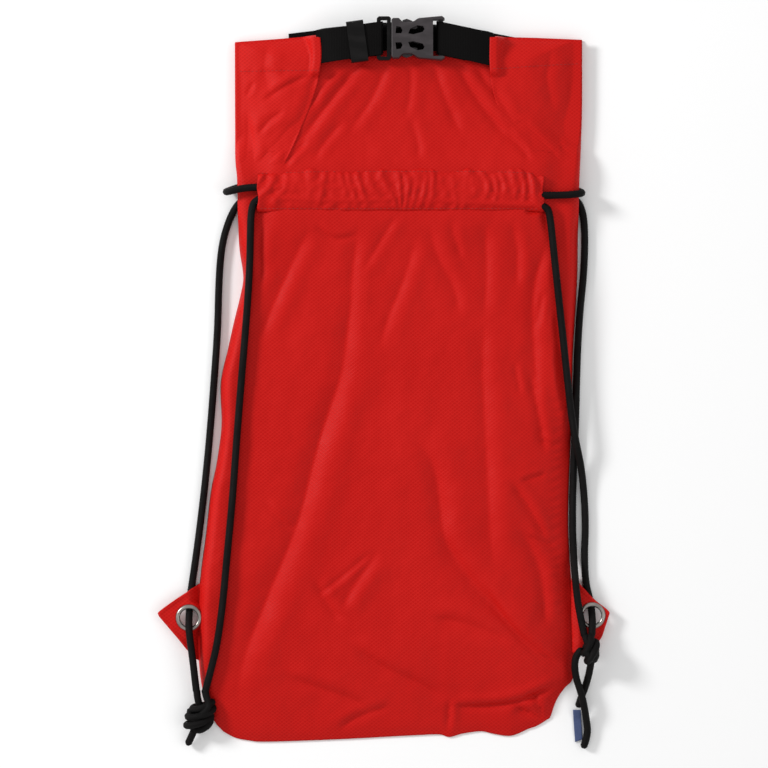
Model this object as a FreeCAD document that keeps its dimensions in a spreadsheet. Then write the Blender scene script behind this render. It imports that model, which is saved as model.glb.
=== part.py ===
"""Empty roll-top drawstring bag lying on its back, with webbing closure and two cord shoulder straps.

Millimetres.  +Z points away from the surface the bag lies on, +Y towards the mouth, +X to the right.
The origin is the middle of the footprint, on that surface.
"""
import FreeCAD
import Part
import math
import os

import Sketcher

V = FreeCAD.Vector

doc = FreeCAD.newDocument("drawstring_roll_top_bag")
sheet = doc.addObject("Spreadsheet::Sheet", "Sizes")

SIZES = [
    # fabric shell
    ("wall", 0.8),               # coated nylon with its folds pressed flat
    ("shell_top", 14.1),         # outside of the front panel above the floor
    ("slope_run", 12.0),         # how far the side gussets lean in
    ("fold_line", 178.0),        # y where the roll-top starts
    ("fold_gap", 4.0),           # limp fabric left between the two bodies at the fold line
    # drawcord channels
    ("channel_height", 7.0),
    ("channel_skin", 0.5),
    ("front_channel_width", 27.0),
    ("back_channel_width", 24.0),
    ("back_lift", 7.2),          # back panel's underside over the back channel
    # cord
    ("cord_diameter", 5.5),
    # corner tabs and their eyelets
    ("tab_base", 6.5),
    ("tab_thickness", 1.0),
    ("eyelet_radius", 10.2),
    ("eyelet_bore", 6.8),
    ("barrel_radius", 7.6),
    ("eyelet_flange", 0.8),
    ("washer_flange", 0.5),
    # webbing
    ("webbing_width", 25.0),
    ("webbing_thickness", 1.3),
    ("strap_base", 21.3),        # underside of the straps' upper run
    ("strap_return", 17.4),      # underside of their lower run
    ("flap_base", 14.5),
    ("flap_thickness", 1.6),
    ("stiffener_thickness", 1.2),
    # side-release buckle
    ("buckle_middle", 257.5),    # y of its centre line
    ("buckle_base", 14.6),
    ("buckle_height", 11.0),
    ("socket_length", 30.5),
    ("socket_mouth", 6.0),       # x of the socket's open end
    ("socket_half_width", 15.0),
    ("cavity_half_width", 11.5),
    ("cavity_base", 17.6),
    ("cavity_height", 5.0),
    ("bar_base", 18.9),
    ("bar_height", 2.2),
    ("rail_half_width", 16.5),
    ("slot_half_width", 13.8),
    ("frame_base", 17.9),
    ("frame_height", 4.4),
    ("prong_base", 18.2),
    ("prong_height", 3.8),
    # strap keeper
    ("keeper_length", 13.0),
    ("keeper_wall", 0.9),
    ("keeper_base", 16.3),
    ("keeper_height", 7.4),
    ("keeper_width", 31.0),
    # woven tag
    ("tag_thickness", 1.4),
]
for row, (name, value) in enumerate(SIZES, start=1):
    sheet.set("A%d" % row, name)
    sheet.set("B%d" % row, str(value))
    sheet.setAlias("B%d" % row, name)
doc.recompute()


def size(name):
    return float(sheet.get(name))


parts = []


def keep(shape_object, label):
    """Name a finished sub-part; its label is the file it is written to."""
    shape_object.Label = label
    parts.append(shape_object)
    return shape_object


def origin_plane(body, role):
    return next(item for item in body.Origin.OriginFeatures if item.Role == role)


def polygon_sketch(body, points, role, name):
    """A closed outline of straight lines, corner joined to corner."""
    sketch = body.newObject("Sketcher::SketchObject", name)
    sketch.AttachmentSupport = [(origin_plane(body, role), "")]
    sketch.MapMode = "FlatFace"
    count = len(points)
    for index in range(count):
        start, end = points[index], points[(index + 1) % count]
        sketch.addGeometry(Part.LineSegment(V(start[0], start[1], 0), V(end[0], end[1], 0)), False)
    for index in range(count):
        sketch.addConstraint(Sketcher.Constraint("Coincident", index, 2, (index + 1) % count, 1))
    return sketch


def bind(thing, prop, expression):
    thing.setExpression(prop, expression)


def plate(label, points, base, height):
    """A flat piece: an outline in plan, padded upwards from base."""
    body = doc.addObject("PartDesign::Body", label)
    pad = body.newObject("PartDesign::Pad", label + "_pad")
    pad.Profile = polygon_sketch(body, points, "XY_Plane", label + "_outline")
    bind(pad, "Length", height)
    bind(body, "Placement.Base.z", base)
    return body


def profile_bar(label, points, width):
    """A piece of constant section: an outline in X and Z, padded both ways along Y."""
    body = doc.addObject("PartDesign::Body", label)
    pad = body.newObject("PartDesign::Pad", label + "_pad")
    pad.Profile = polygon_sketch(body, points, "XZ_Plane", label + "_section")
    pad.Midplane = True
    bind(pad, "Length", width)
    return body


def feature(label, shape):
    """A sub-part that neither a sketch nor a primitive describes."""
    thing = doc.addObject("Part::Feature", label)
    thing.Shape = shape
    thing.Placement = FreeCAD.Placement()
    return keep(thing, label)


def wire_at(points, height):
    corners = [V(x, y, height) for x, y in points]
    return Part.makePolygon(corners + corners[:1])


def prism(points, low, high):
    return Part.Face(wire_at(points, low)).extrude(V(0, 0, high - low))


def block(x_range, y_range, z_range):
    return Part.makeBox(x_range[1] - x_range[0], y_range[1] - y_range[0], z_range[1] - z_range[0],
                        V(x_range[0], y_range[0], z_range[0]))


def inset(points, distance):
    """The outline moved inwards by a distance, its points given anticlockwise."""
    moved = []
    count = len(points)
    for index in range(count):
        before, here, after = points[index - 1], points[index], points[(index + 1) % count]
        first = V(here[0] - before[0], here[1] - before[1], 0).normalize()
        second = V(after[0] - here[0], after[1] - here[1], 0).normalize()
        inward = V(-first.y - second.y, first.x + second.x, 0).normalize()
        reach = distance / inward.dot(V(-first.y, first.x, 0))
        moved.append((here[0] + inward.x * reach, here[1] + inward.y * reach))
    return moved


# ---------------------------------------------------------------- lower bag: panels and gussets

FAR = 400.0                      # half size of the blocks that split the shell
OVERRUN = 30.0                   # the shell is drawn past the fold line, then trimmed there
body_end = size("fold_line") - size("fold_gap") / 2
neck_start = size("fold_line") + size("fold_gap") / 2
wall = size("wall")
shell_top = size("shell_top")

bag_outline = [
    (-112, body_end + OVERRUN), (-112, 165), (-109.8, 105), (-106.5, 80), (-113, 46), (-121.5, 0),
    (-122.5, -34), (-131, -84), (-137, -150), (-137, -205), (-127, -236), (-115, -264), (-88, -274),
    (-33, -272.5), (73, -267), (97, -269.5), (122, -257), (131, -240), (136, -225), (138, -160),
    (138, -60), (141, 40), (141, 155), (146, 176), (146, body_end + OVERRUN),
]
kept_half = block((-FAR, FAR), (-FAR, body_end), (0, 60))

back_rise = [                    # y and z of the back panel's upper side, from the bottom to the mouth
    (-300, wall), (116, wall), (127, size("back_lift") + wall), (166, size("back_lift") + wall),
    (188, wall), (300, wall),
]


def swept_profile(points, low):
    """The space under a line of y and z, down to low, across the whole width."""
    corners = [V(-FAR, y, z) for y, z in points]
    corners += [V(-FAR, points[-1][0], low), V(-FAR, points[0][0], low)]
    face = Part.Face(Part.makePolygon(corners + corners[:1]))
    return face.extrude(V(2 * FAR, 0, 0))


under_back = swept_profile(back_rise, -5.0)
below_back = swept_profile([(y, z - wall) for y, z in back_rise], -5.0)
back_sheet = under_back.cut(below_back)

feature("back_panel", back_sheet.common(prism(bag_outline, -1, 30)).common(kept_half))

lean = size("slope_run")
outer_shell = Part.makeLoft([wire_at(bag_outline, wall), wire_at(inset(bag_outline, lean), shell_top)],
                            True, True)
inner_shell = Part.makeLoft([wire_at(inset(bag_outline, 1.4 * wall), wall - 0.01),
                             wire_at(inset(bag_outline, lean + 1.4 * wall), shell_top - wall)],
                            True, True)
shell = outer_shell.cut(inner_shell).common(kept_half)
feature("front_panel", shell.common(block((-FAR, FAR), (-FAR, FAR), (shell_top - wall, shell_top + 1))))

gussets = shell.common(block((-FAR, FAR), (-FAR, FAR), (0, shell_top - wall))).cut(under_back)
bottom_seam = -236.0             # y of the seams between the bottom panel and the side gussets
feature("bottom_panel", gussets.common(block((-FAR, FAR), (-FAR, bottom_seam), (0, 40))))
feature("side_gusset_left", gussets.common(block((-FAR, 0), (bottom_seam, FAR), (0, 40))))
feature("side_gusset_right", gussets.common(block((0, FAR), (bottom_seam, FAR), (0, 40))))


# ---------------------------------------------------------------- drawcord channels

def channel(label, x_range, middle, width, base):
    """A flat sleeve, open at both ends, sewn across the panel."""
    outer = doc.addObject("Part::Box", label + "_outside")
    outer.Length = x_range[1] - x_range[0]
    bind(outer, "Width", "Sizes." + width)
    bind(outer, "Height", "Sizes.channel_height")
    outer.Placement.Base = V(x_range[0], middle - size(width) / 2, base)
    hole = doc.addObject("Part::Box", label + "_inside")
    hole.Length = x_range[1] - x_range[0] + 2
    bind(hole, "Width", "Sizes.%s - 4 * Sizes.channel_skin" % width)
    bind(hole, "Height", "Sizes.channel_height - 2 * Sizes.channel_skin")
    skin = size("channel_skin")
    hole.Placement.Base = V(x_range[0] - 1, middle - size(width) / 2 + 2 * skin, base + skin)
    sleeve = doc.addObject("Part::Cut", label)
    sleeve.Base = outer
    sleeve.Tool = hole
    return keep(sleeve, label)


FRONT_CHANNEL = (-95.0, 121.0)
BACK_CHANNEL = (-104.0, 136.0)
channel("front_cord_channel", FRONT_CHANNEL, 140.5, "front_channel_width", shell_top)
channel("back_cord_channel", BACK_CHANNEL, 144.0, "back_channel_width", 0.0)


# ---------------------------------------------------------------- corner tabs and eyelets

EYELETS = {"left": (-147.4, -180.1), "right": (158.2, -178.4)}
TAB_OUTLINES = {
    "left": [(-138.2, -155.8), (-141.5, -155.8), (-169.6, -175), (-170.6, -178), (-168.5, -181),
             (-146, -207.5), (-138.2, -207)],
    "right": [(139.5, -207), (150, -206), (163.5, -197.5), (170.6, -179), (170.6, -175),
              (150.5, -156.6), (139.5, -150)],
}


def ring(label, centre, base, height, inner):
    """A washer-like disc with a round hole."""
    disc = doc.addObject("Part::Cylinder", label + "_disc")
    bind(disc, "Radius", "Sizes.eyelet_radius")
    bind(disc, "Height", height)
    bore = doc.addObject("Part::Cylinder", label + "_bore")
    bind(bore, "Radius", inner)
    bind(bore, "Height", "2 * (%s)" % height)
    for item in (disc, bore):
        item.Placement.Base = V(centre[0], centre[1], 0)
    bind(disc, "Placement.Base.z", base)
    bind(bore, "Placement.Base.z", "%s - (%s) / 2" % (base, height))
    cut = doc.addObject("Part::Cut", label + "_ring")
    cut.Base = disc
    cut.Tool = bore
    return cut


for side, centre in EYELETS.items():
    tab = plate("tab_%s_cloth" % side, TAB_OUTLINES[side], "Sizes.tab_base", "Sizes.tab_thickness")
    punched = doc.addObject("Part::Cylinder", "tab_%s_hole" % side)
    bind(punched, "Radius", "Sizes.barrel_radius")
    punched.Height = 20
    punched.Placement.Base = V(centre[0], centre[1], 0)
    cut = doc.addObject("Part::Cut", "tab_" + side)
    cut.Base = tab
    cut.Tool = punched
    keep(cut, "tab_" + side)

    top = "Sizes.tab_base + Sizes.tab_thickness"
    flange = ring("eyelet_%s_flange" % side, centre, top, "Sizes.eyelet_flange", "Sizes.eyelet_bore")
    tube_wall = doc.addObject("Part::Cylinder", "eyelet_%s_tube" % side)
    bind(tube_wall, "Radius", "Sizes.barrel_radius - 0.02")
    bind(tube_wall, "Height", "Sizes.tab_thickness + Sizes.washer_flange")
    tube_bore = doc.addObject("Part::Cylinder", "eyelet_%s_tube_bore" % side)
    bind(tube_bore, "Radius", "Sizes.eyelet_bore")
    tube_bore.Height = 6
    for item in (tube_wall, tube_bore):
        item.Placement.Base = V(centre[0], centre[1], 0)
    bind(tube_wall, "Placement.Base.z", "Sizes.tab_base - Sizes.washer_flange")
    bind(tube_bore, "Placement.Base.z", "Sizes.tab_base - 2")
    barrel = doc.addObject("Part::Cut", "eyelet_%s_barrel" % side)
    barrel.Base = tube_wall
    barrel.Tool = tube_bore
    eyelet = doc.addObject("Part::Fuse", "eyelet_" + side)
    eyelet.Base = flange
    eyelet.Tool = barrel
    keep(eyelet, "eyelet_" + side)

    keep(ring("washer_" + side, centre, "Sizes.tab_base - Sizes.washer_flange",
              "Sizes.washer_flange", "Sizes.barrel_radius"), "washer_" + side)


# ---------------------------------------------------------------- roll-top: neck, flaps, stiffener

neck_outline = [
    (-112.9, neck_start), (150.9, neck_start), (150.9, 258.4), (104, 259), (47, 266), (5, 268),
    (-33, 265), (-70, 261), (-112.9, 256),
]
feature("neck_back", back_sheet.common(prism(neck_outline, -1, 30)))
keep(plate("neck_front", [(x, min(y, 256.0)) for x, y in neck_outline],
           "Sizes.shell_top - Sizes.wall", "Sizes.wall"), "neck_front")
for side, x_low in (("left", -112.9), ("right", 150.9 - wall)):
    side_wall = doc.addObject("Part::Box", "neck_side_" + side)
    bind(side_wall, "Length", "Sizes.wall")
    side_wall.Width = 66
    bind(side_wall, "Height", "Sizes.shell_top - 2 * Sizes.wall")
    side_wall.Placement.Base = V(x_low, 188.5, wall)
    keep(side_wall, "neck_side_" + side)

keep(plate("mouth_stiffener", [
    (-70, 239), (5, 245.5), (47.5, 243.5), (103.7, 234.5), (103.7, 259.5), (75, 264.6), (47.5, 268.3),
    (5, 270.6), (-33, 267.5), (-70, 263.7)], "Sizes.wall", "Sizes.stiffener_thickness"),
    "mouth_stiffener")

keep(plate("flap_left", [
    (-112.9, 183), (-82, 183), (-54.7, 208), (-46.7, 234), (-46.7, 248), (-48.3, 261.7),
    (-69.9, 263.7), (-70.3, 259.4), (-112.9, 256.1)], "Sizes.flap_base", "Sizes.flap_thickness"),
    "flap_left")
keep(plate("flap_right", [
    (102, 183), (150.9, 183), (150.9, 258.4), (80.2, 259.9), (80.2, 212.8)],
    "Sizes.flap_base", "Sizes.flap_thickness"), "flap_right")


# ---------------------------------------------------------------- webbing straps

thickness = size("webbing_thickness")
upper_run = size("strap_base")
lower_run = size("strap_return")
BAR_LEFT = (-5.0, -2.0)          # x of the insert's bar, which the left strap turns round
BAR_RIGHT = (41.5, 45.0)         # x of the socket's bar, which the right strap turns round
TURN_GAP = 0.35                  # between a bar and the webbing round it


def strap_section(sewn_end, turn, tail_end, towards):
    """A strap from its sewn end, round a bar at turn, and back under itself to tail_end."""
    outer, inner = turn + towards * (TURN_GAP + thickness), turn + towards * TURN_GAP
    nose = towards * thickness
    return [
        (sewn_end, upper_run), (inner - nose * 0.3, upper_run), (inner, upper_run - 0.4),
        (inner, lower_run + thickness + 0.2), (inner - nose * 0.3, lower_run + thickness),
        (tail_end, lower_run + thickness), (tail_end, lower_run), (outer - nose, lower_run),
        (outer, lower_run + thickness), (outer, upper_run), (outer - nose, upper_run + thickness),
        (sewn_end, upper_run + thickness),
    ]


def strap_middle(x, pivot_x, slope):
    """The y of a sloping strap's centre line; it meets the buckle's bar at pivot_x."""
    return size("buckle_middle") + (x - pivot_x) * math.tan(math.radians(slope))


def lay_strap(label, section, pivot_x, slope):
    """A strap whose loop stays square to the bar while its edges slope away in plan."""
    band = profile_bar(label + "_band", section, "4 * Sizes.webbing_width")
    bind(band, "Placement.Base.y", "Sizes.buckle_middle")
    half = size("webbing_width") / 2 / math.cos(math.radians(slope))
    ends = [min(x for x, _ in section) - 1, max(x for x, _ in section) + 1]
    low = [(x, strap_middle(x, pivot_x, slope) - half) for x in ends]
    high = [(x, strap_middle(x, pivot_x, slope) + half) for x in reversed(ends)]
    edges = plate(label + "_edges", low + high, "Sizes.strap_return - 1", "10")
    strap = doc.addObject("Part::Common", label)
    strap.Base = band
    strap.Tool = edges
    return keep(strap, label)


STRAP_SLOPE_LEFT, STRAP_SLOPE_RIGHT = 8.0, -12.0
left_section = strap_section(-60.0, BAR_LEFT[1], -26.0, 1)
right_section = strap_section(96.0, BAR_RIGHT[0], 62.0, -1)
lay_strap("strap_left", left_section, sum(BAR_LEFT) / 2, STRAP_SLOPE_LEFT)
lay_strap("strap_right", right_section, sum(BAR_RIGHT) / 2, STRAP_SLOPE_RIGHT)

keeper_low, keeper_high = size("keeper_base"), size("keeper_base") + size("keeper_height")
keeper = doc.addObject("PartDesign::Body", "strap_keeper")
keeper_pad = keeper.newObject("PartDesign::Pad", "strap_keeper_pad")
half = size("keeper_width") / 2
keeper_pad.Profile = polygon_sketch(keeper, [
    (-half + 1, keeper_low), (half - 1, keeper_low), (half, keeper_low + 1), (half, keeper_high - 1),
    (half - 1, keeper_high), (-half + 1, keeper_high), (-half, keeper_high - 1), (-half, keeper_low + 1),
], "YZ_Plane", "strap_keeper_outline")
bind(keeper_pad, "Length", "Sizes.keeper_length")
window = keeper.newObject("PartDesign::Pocket", "strap_keeper_window")
inner_half = half - 1.6
edge = size("keeper_wall")
window.Profile = polygon_sketch(keeper, [
    (-inner_half, keeper_low + edge), (inner_half, keeper_low + edge),
    (inner_half, keeper_high - edge), (-inner_half, keeper_high - edge),
], "YZ_Plane", "strap_keeper_hole")
window.Type = 1
window.Midplane = True
keeper_x = -26.2
keeper.Placement = FreeCAD.Placement(
    V(keeper_x, strap_middle(keeper_x, sum(BAR_LEFT) / 2, STRAP_SLOPE_LEFT), 0),
    FreeCAD.Rotation(V(0, 0, 1), STRAP_SLOPE_LEFT))
keep(keeper, "strap_keeper")


# ---------------------------------------------------------------- buckle

middle = size("buckle_middle")
mouth = size("socket_mouth")
socket_end = mouth + size("socket_length")


def mirrored(points):
    """An outline drawn above the centre line and completed below it."""
    return points + [(x, -y) for x, y in reversed(points)]


def buckle_plan(points):
    return [(x, y + middle) for x, y in points]


half_width = size("socket_half_width")
waist = 11.9
socket = plate("buckle_socket_body", buckle_plan(mirrored([
    (mouth, half_width - 1.2), (mouth + 1.2, half_width), (mouth + 5.5, half_width),
    (mouth + 8.0, waist + 0.6), (mouth + 9.5, waist), (mouth + 15.0, waist),
    (mouth + 17.0, waist + 0.8), (mouth + 19.5, half_width - 0.6), (mouth + 21, half_width),
    (socket_end + 7.5, half_width + 1.5), (socket_end + 9.5, half_width)])),
    "Sizes.buckle_base", "Sizes.buckle_height")
socket_blank = doc.addObject("Part::Fillet", "buckle_socket_blank")
doc.recompute()
socket_blank.Base = socket
long_edges = [
    (number, 0.9, 0.9) for number, one in enumerate(socket.Shape.Edges, start=1)
    if abs(one.Vertexes[0].Z - one.Vertexes[-1].Z) < 0.01
]
socket_blank.Edges = long_edges
doc.recompute()

cavity_low = size("cavity_base")
cavity_high = cavity_low + size("cavity_height")
buckle_low, buckle_high = size("buckle_base"), size("buckle_base") + size("buckle_height")
cavity_half = size("cavity_half_width")
slot_half = size("slot_half_width")
window_outline = [(18.6, 3.2), (22.5, 2.6), (29.5, 4.4), (31.0, 6.6), (29.8, 8.8), (25.5, 9.4), (20.0, 6.8)]
small_window = [(9.0, 3.4), (13.4, 3.4), (14.4, 5.6), (13.0, 8.2), (9.6, 8.8)]
cutters = [
    block((mouth - 1, 27.0), (middle - cavity_half, middle + cavity_half), (cavity_low, cavity_high)),
    block((mouth + 7.2, mouth + 17.6), (middle - 20, middle + 20), (cavity_low, cavity_high)),
    block((socket_end + 0.8, BAR_RIGHT[0]), (middle - slot_half, middle + slot_half),
          (buckle_low - 1, buckle_high + 1)),
    block((BAR_RIGHT[0] - 1, socket_end + 20), (middle - slot_half, middle + slot_half),
          (buckle_low - 1, size("bar_base"))),
    block((BAR_RIGHT[0] - 1, socket_end + 20), (middle - slot_half, middle + slot_half),
          (size("bar_base") + size("bar_height"), buckle_high + 1)),
    block((BAR_RIGHT[1], socket_end + 20), (middle - slot_half, middle + slot_half),
          (buckle_low - 1, buckle_high + 1)),
]
for outline in (window_outline, small_window):
    for sign in (1, -1):
        corners = [(x, middle + sign * y) for x, y in outline]
        cutters.append(prism(corners[::sign], buckle_low - 1, buckle_high + 1))
socket_tool = doc.addObject("Part::Feature", "buckle_socket_hollows")
socket_tool.Shape = cutters[0].multiFuse(cutters[1:])
socket_part = doc.addObject("Part::Cut", "buckle_socket")
socket_part.Base = socket_blank
socket_part.Tool = socket_tool
keep(socket_part, "buckle_socket")

rail = size("rail_half_width")
insert_frame = plate("buckle_insert_frame", buckle_plan(mirrored([
    (BAR_LEFT[0], rail - 1.5), (BAR_LEFT[0] + 1.5, rail), (4.2, rail), (5.6, rail - 1.4),
    (5.6, 3.0), (8.5, 2.4), (23.0, 2.4), (24.0, 1.4)])), "Sizes.frame_base", "Sizes.frame_height")
insert_tool = doc.addObject("Part::Feature", "buckle_insert_hollows")
frame_low, frame_high = size("frame_base"), size("frame_base") + size("frame_height")
insert_tool.Shape = block((BAR_LEFT[1], 2.6), (middle - slot_half, middle + slot_half),
                          (frame_low - 1, frame_high + 1)).multiFuse([
    block((BAR_LEFT[0] - 1, BAR_LEFT[1] + 0.5), (middle - slot_half, middle + slot_half),
          (frame_low - 1, size("bar_base"))),
    block((BAR_LEFT[0] - 1, BAR_LEFT[1] + 0.5), (middle - slot_half, middle + slot_half),
          (size("bar_base") + size("bar_height"), frame_high + 1))])
insert_part = doc.addObject("Part::Cut", "buckle_insert")
insert_part.Base = insert_frame
insert_part.Tool = insert_tool
keep(insert_part, "buckle_insert")

prong_outline = [                # from the root along the outside, round the barb and back inside
    (5.6, 10.6), (13.5, 10.9), (14.4, 13.6), (17.5, 14.6), (21.5, 13.2), (25.2, 9.6), (25.6, 7.6),
    (23.6, 6.9), (16.0, 8.4), (5.6, 7.6),
]
for side, sign in (("upper", 1), ("lower", -1)):
    outline = [(x, sign * y) for x, y in prong_outline][::-sign]
    keep(plate("prong_" + side, buckle_plan(outline), "Sizes.prong_base", "Sizes.prong_height"),
         "prong_" + side)


# ---------------------------------------------------------------- cords

diameter = size("cord_diameter")
radius = diameter / 2


def cord_path(points):
    """Straight runs joined by tangent arcs, each as large as its two runs allow."""
    corners = [V(*point) for point in points]
    edges, radii = [], []
    here = corners[0]
    for index in range(1, len(corners) - 1):
        before, corner, after = corners[index - 1:index + 2]
        back, ahead = before - corner, after - corner
        run = min(back.Length, ahead.Length)
        turn = math.pi - back.getAngle(ahead)
        cut_back = 0.45 * run
        radii.append(cut_back / math.tan(turn / 2))
        start = corner + back.normalize() * cut_back
        end = corner + ahead.normalize() * cut_back
        bisector = (back + ahead).normalize()
        to_centre = radii[-1] / math.cos(turn / 2)
        top = corner + bisector * (to_centre - radii[-1])
        edges.append(Part.LineSegment(here, start).toShape())
        edges.append(Part.Arc(start, top, end).toShape())
        here = end
    edges.append(Part.LineSegment(here, corners[-1]).toShape())
    return Part.Wire(edges), radii


def cord(label, points):
    """A length of round cord along a route."""
    path, radii = cord_path(points)
    direction = path.Edges[0].tangentAt(path.Edges[0].FirstParameter)
    section = Part.Wire(Part.makeCircle(radius, V(*points[0]), direction))
    tube = path.makePipeShell([section], True, True)
    ratio = tube.Volume / (math.pi * radius ** 2 * path.Length)
    tightest = min(radii) if radii else float("inf")
    print("%-30s length %7.1f  least radius %6.1f  volume ratio %.4f" % (label, path.Length, tightest, ratio))
    if abs(ratio - 1) > 0.02:
        raise RuntimeError(label + ": the tube is not its section times its length")
    feature(label, tube)


IN_FRONT = 17.6                  # z of a cord's centre inside the front channel
ON_FRONT = shell_top + radius + 0.3
IN_BACK = 3.5
ON_FLOOR = radius + 0.1

ROUTES = {
    "cord_left_inner_run": [
        (-87, 138, IN_FRONT), (-96.8, 137, IN_FRONT), (-100, 127.6, ON_FRONT), (-100.4, 111, ON_FRONT),
        (-101, 84, ON_FRONT), (-103.4, 46, ON_FRONT), (-107.2, 1, ON_FRONT), (-110.9, -46, ON_FRONT),
        (-114.2, -93, ON_FRONT), (-118.2, -134, ON_FRONT), (-121.4, -170, ON_FRONT),
        (-125.6, -200, ON_FRONT), (-130.6, -220, 15.4), (-135.2, -237, 11.6)],
    "cord_left_outer_run": [
        (-96, 138.4, IN_BACK), (-105.4, 138, IN_BACK), (-112.4, 131.4, 3.1), (-118.4, 118.4, ON_FLOOR),
        (-123, 101, ON_FLOOR), (-125, 75, ON_FLOOR), (-125.8, 38, ON_FLOOR), (-128.4, 2, ON_FLOOR),
        (-131.6, -40, ON_FLOOR), (-136, -85, ON_FLOOR), (-141.4, -128, ON_FLOOR),
        (-144.9, -152, ON_FLOOR), (-147.2, -167, ON_FLOOR), (-147.4, -177.4, 3.2),
        (-147.3, -186.4, 12.6), (-146.2, -197, 12.8), (-144.2, -212, 11.6), (-141.4, -237, 10.4)],
    "cord_right_inner_run": [
        (113, 132.6, IN_FRONT), (123.6, 132, IN_FRONT), (126, 121.6, ON_FRONT), (127.8, 104, ON_FRONT),
        (131.2, 72, 16.8), (135.2, 36, 14.6), (139.4, -2, 12.4), (142.4, -29, 11.9),
        (145.8, -48, 11.4), (150, -66, 5.8), (152.4, -88, ON_FLOOR), (153.4, -110, ON_FLOOR),
        (152.4, -135, ON_FLOOR), (153.4, -154, ON_FLOOR), (156.6, -166, ON_FLOOR),
        (158.1, -175.6, 3.2), (158.2, -184.8, 12.6), (157.4, -194.5, 12.4)],
    "cord_right_outer_run": [
        (128, 140.4, IN_BACK), (138, 140.2, IN_BACK), (147.4, 136.6, 3.2), (151.8, 126.6, ON_FLOOR),
        (153, 108, ON_FLOOR), (152, 80, ON_FLOOR), (149.2, 54, ON_FLOOR), (147.4, 26, ON_FLOOR),
        (146.4, -6, ON_FLOOR), (145.8, -36, ON_FLOOR), (143.8, -76, ON_FLOOR), (143.4, -110, ON_FLOOR),
        (144.2, -131, 3.4), (144.8, -146, 9.8), (146.2, -162, 12.0), (148.6, -178, 12.2),
        (152.4, -195, 12.0)],
    "cord_left_side_loop": [
        (113, 139.4, IN_FRONT), (131, 139.2, IN_FRONT), (150, 140.6, 17.4), (150.4, 142.6, 3.8),
        (137, 147.6, IN_BACK), (128, 148, IN_BACK)],
    "cord_right_side_loop": [
        (-87, 145.6, IN_FRONT), (-102, 145.8, IN_FRONT), (-118.8, 141.8, 17.2), (-119, 143.2, 3.8),
        (-105.6, 147.8, IN_BACK), (-96, 148, IN_BACK)],
    "cord_left_in_front_channel": [
        (-87, 138, IN_FRONT), (-50, 136, IN_FRONT), (-8, 136, IN_FRONT), (6, 137, IN_FRONT),
        (20, 144, IN_FRONT), (34, 144.8, IN_FRONT), (74, 140.6, IN_FRONT), (113, 139.4, IN_FRONT)],
    "cord_right_in_front_channel": [
        (113, 132.6, IN_FRONT), (74, 134, IN_FRONT), (34, 136, IN_FRONT), (20, 136.6, IN_FRONT),
        (6, 144.2, IN_FRONT), (-8, 145, IN_FRONT), (-50, 145.4, IN_FRONT), (-87, 145.6, IN_FRONT)],
    "cord_left_in_back_channel": [
        (128, 148, IN_BACK), (78, 149.4, IN_BACK), (38, 149.4, IN_BACK), (24, 148.2, IN_BACK),
        (10, 139.8, IN_BACK), (-4, 138.6, IN_BACK), (-44, 138, IN_BACK), (-96, 138.4, IN_BACK)],
    "cord_right_in_back_channel": [
        (-96, 148, IN_BACK), (-44, 149.4, IN_BACK), (-4, 149.2, IN_BACK), (10, 148, IN_BACK),
        (24, 139.8, IN_BACK), (38, 138.8, IN_BACK), (78, 139, IN_BACK), (128, 140.4, IN_BACK)],
    "cord_right_tail_front": [
        (150.6, -203, 13.2), (146.2, -207, 12.6), (144.4, -214.5, 11.2), (145.6, -225, 8.8),
        (149.4, -236, 8.8), (151.8, -246, 8.8), (154, -258, 4.4), (155.4, -270, ON_FLOOR),
        (151.4, -279.5, ON_FLOOR)],
    "cord_right_tail_back": [
        (157.6, -209, 12.6), (156.6, -219, 7.6), (153.8, -231.6, ON_FLOOR), (149.4, -242.5, ON_FLOOR),
        (147.6, -248.6, ON_FLOOR)],
    "cord_left_tail": [
        (-143, -264, 7.0), (-145.4, -270, 5.4), (-148.8, -277, 4.2)],
}
for label, points in ROUTES.items():
    cord(label, points)


def knot(label, centre, radii_xyz, slant):
    """The closed outer shape of a double knot, leaning in plan."""
    stretch = FreeCAD.Matrix()
    stretch.scale(V(*radii_xyz))
    stretch.rotateZ(math.radians(slant))
    stretch.move(V(*centre))
    feature(label, Part.makeSphere(1.0).transformGeometry(stretch))


knot("knot_left", (-139.0, -253.0, 8.0), (10.5, 17.5, 7.8), -14.0)
knot("knot_right", (156.2, -203.5, 15.0), (8.2, 12.5, 7.2), 8.0)

keep(plate("cord_end_tag", [(143.8, -250.4), (149.8, -250.4), (151.2, -273.0), (145.6, -275.0)],
           "0.2", "Sizes.tag_thickness"), "cord_end_tag")


# ---------------------------------------------------------------- check and write

doc.recompute()
for item in doc.Objects:
    if "Invalid" in item.State or "Error" in item.State:
        raise RuntimeError("%s failed: %s" % (item.Name, item.State))
os.makedirs("parts", exist_ok=True)
for item in parts:
    shape = item.Shape
    if shape.isNull() or not shape.isValid() or not shape.Solids:
        raise RuntimeError(item.Label + " is not a valid solid")
    shape.exportStep("parts/%s.step" % item.Label)
print("%d sub-parts written" % len(parts))
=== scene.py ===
"""Flat red roll-top drawstring bag with black cord shoulder straps, on a white floor.

Lengths are in millimetres in this script and turn into metres where a piece is made.
"""
import math

import bpy
import numpy as np
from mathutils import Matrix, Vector, geometry, noise
from mathutils.bvhtree import BVHTree


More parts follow.
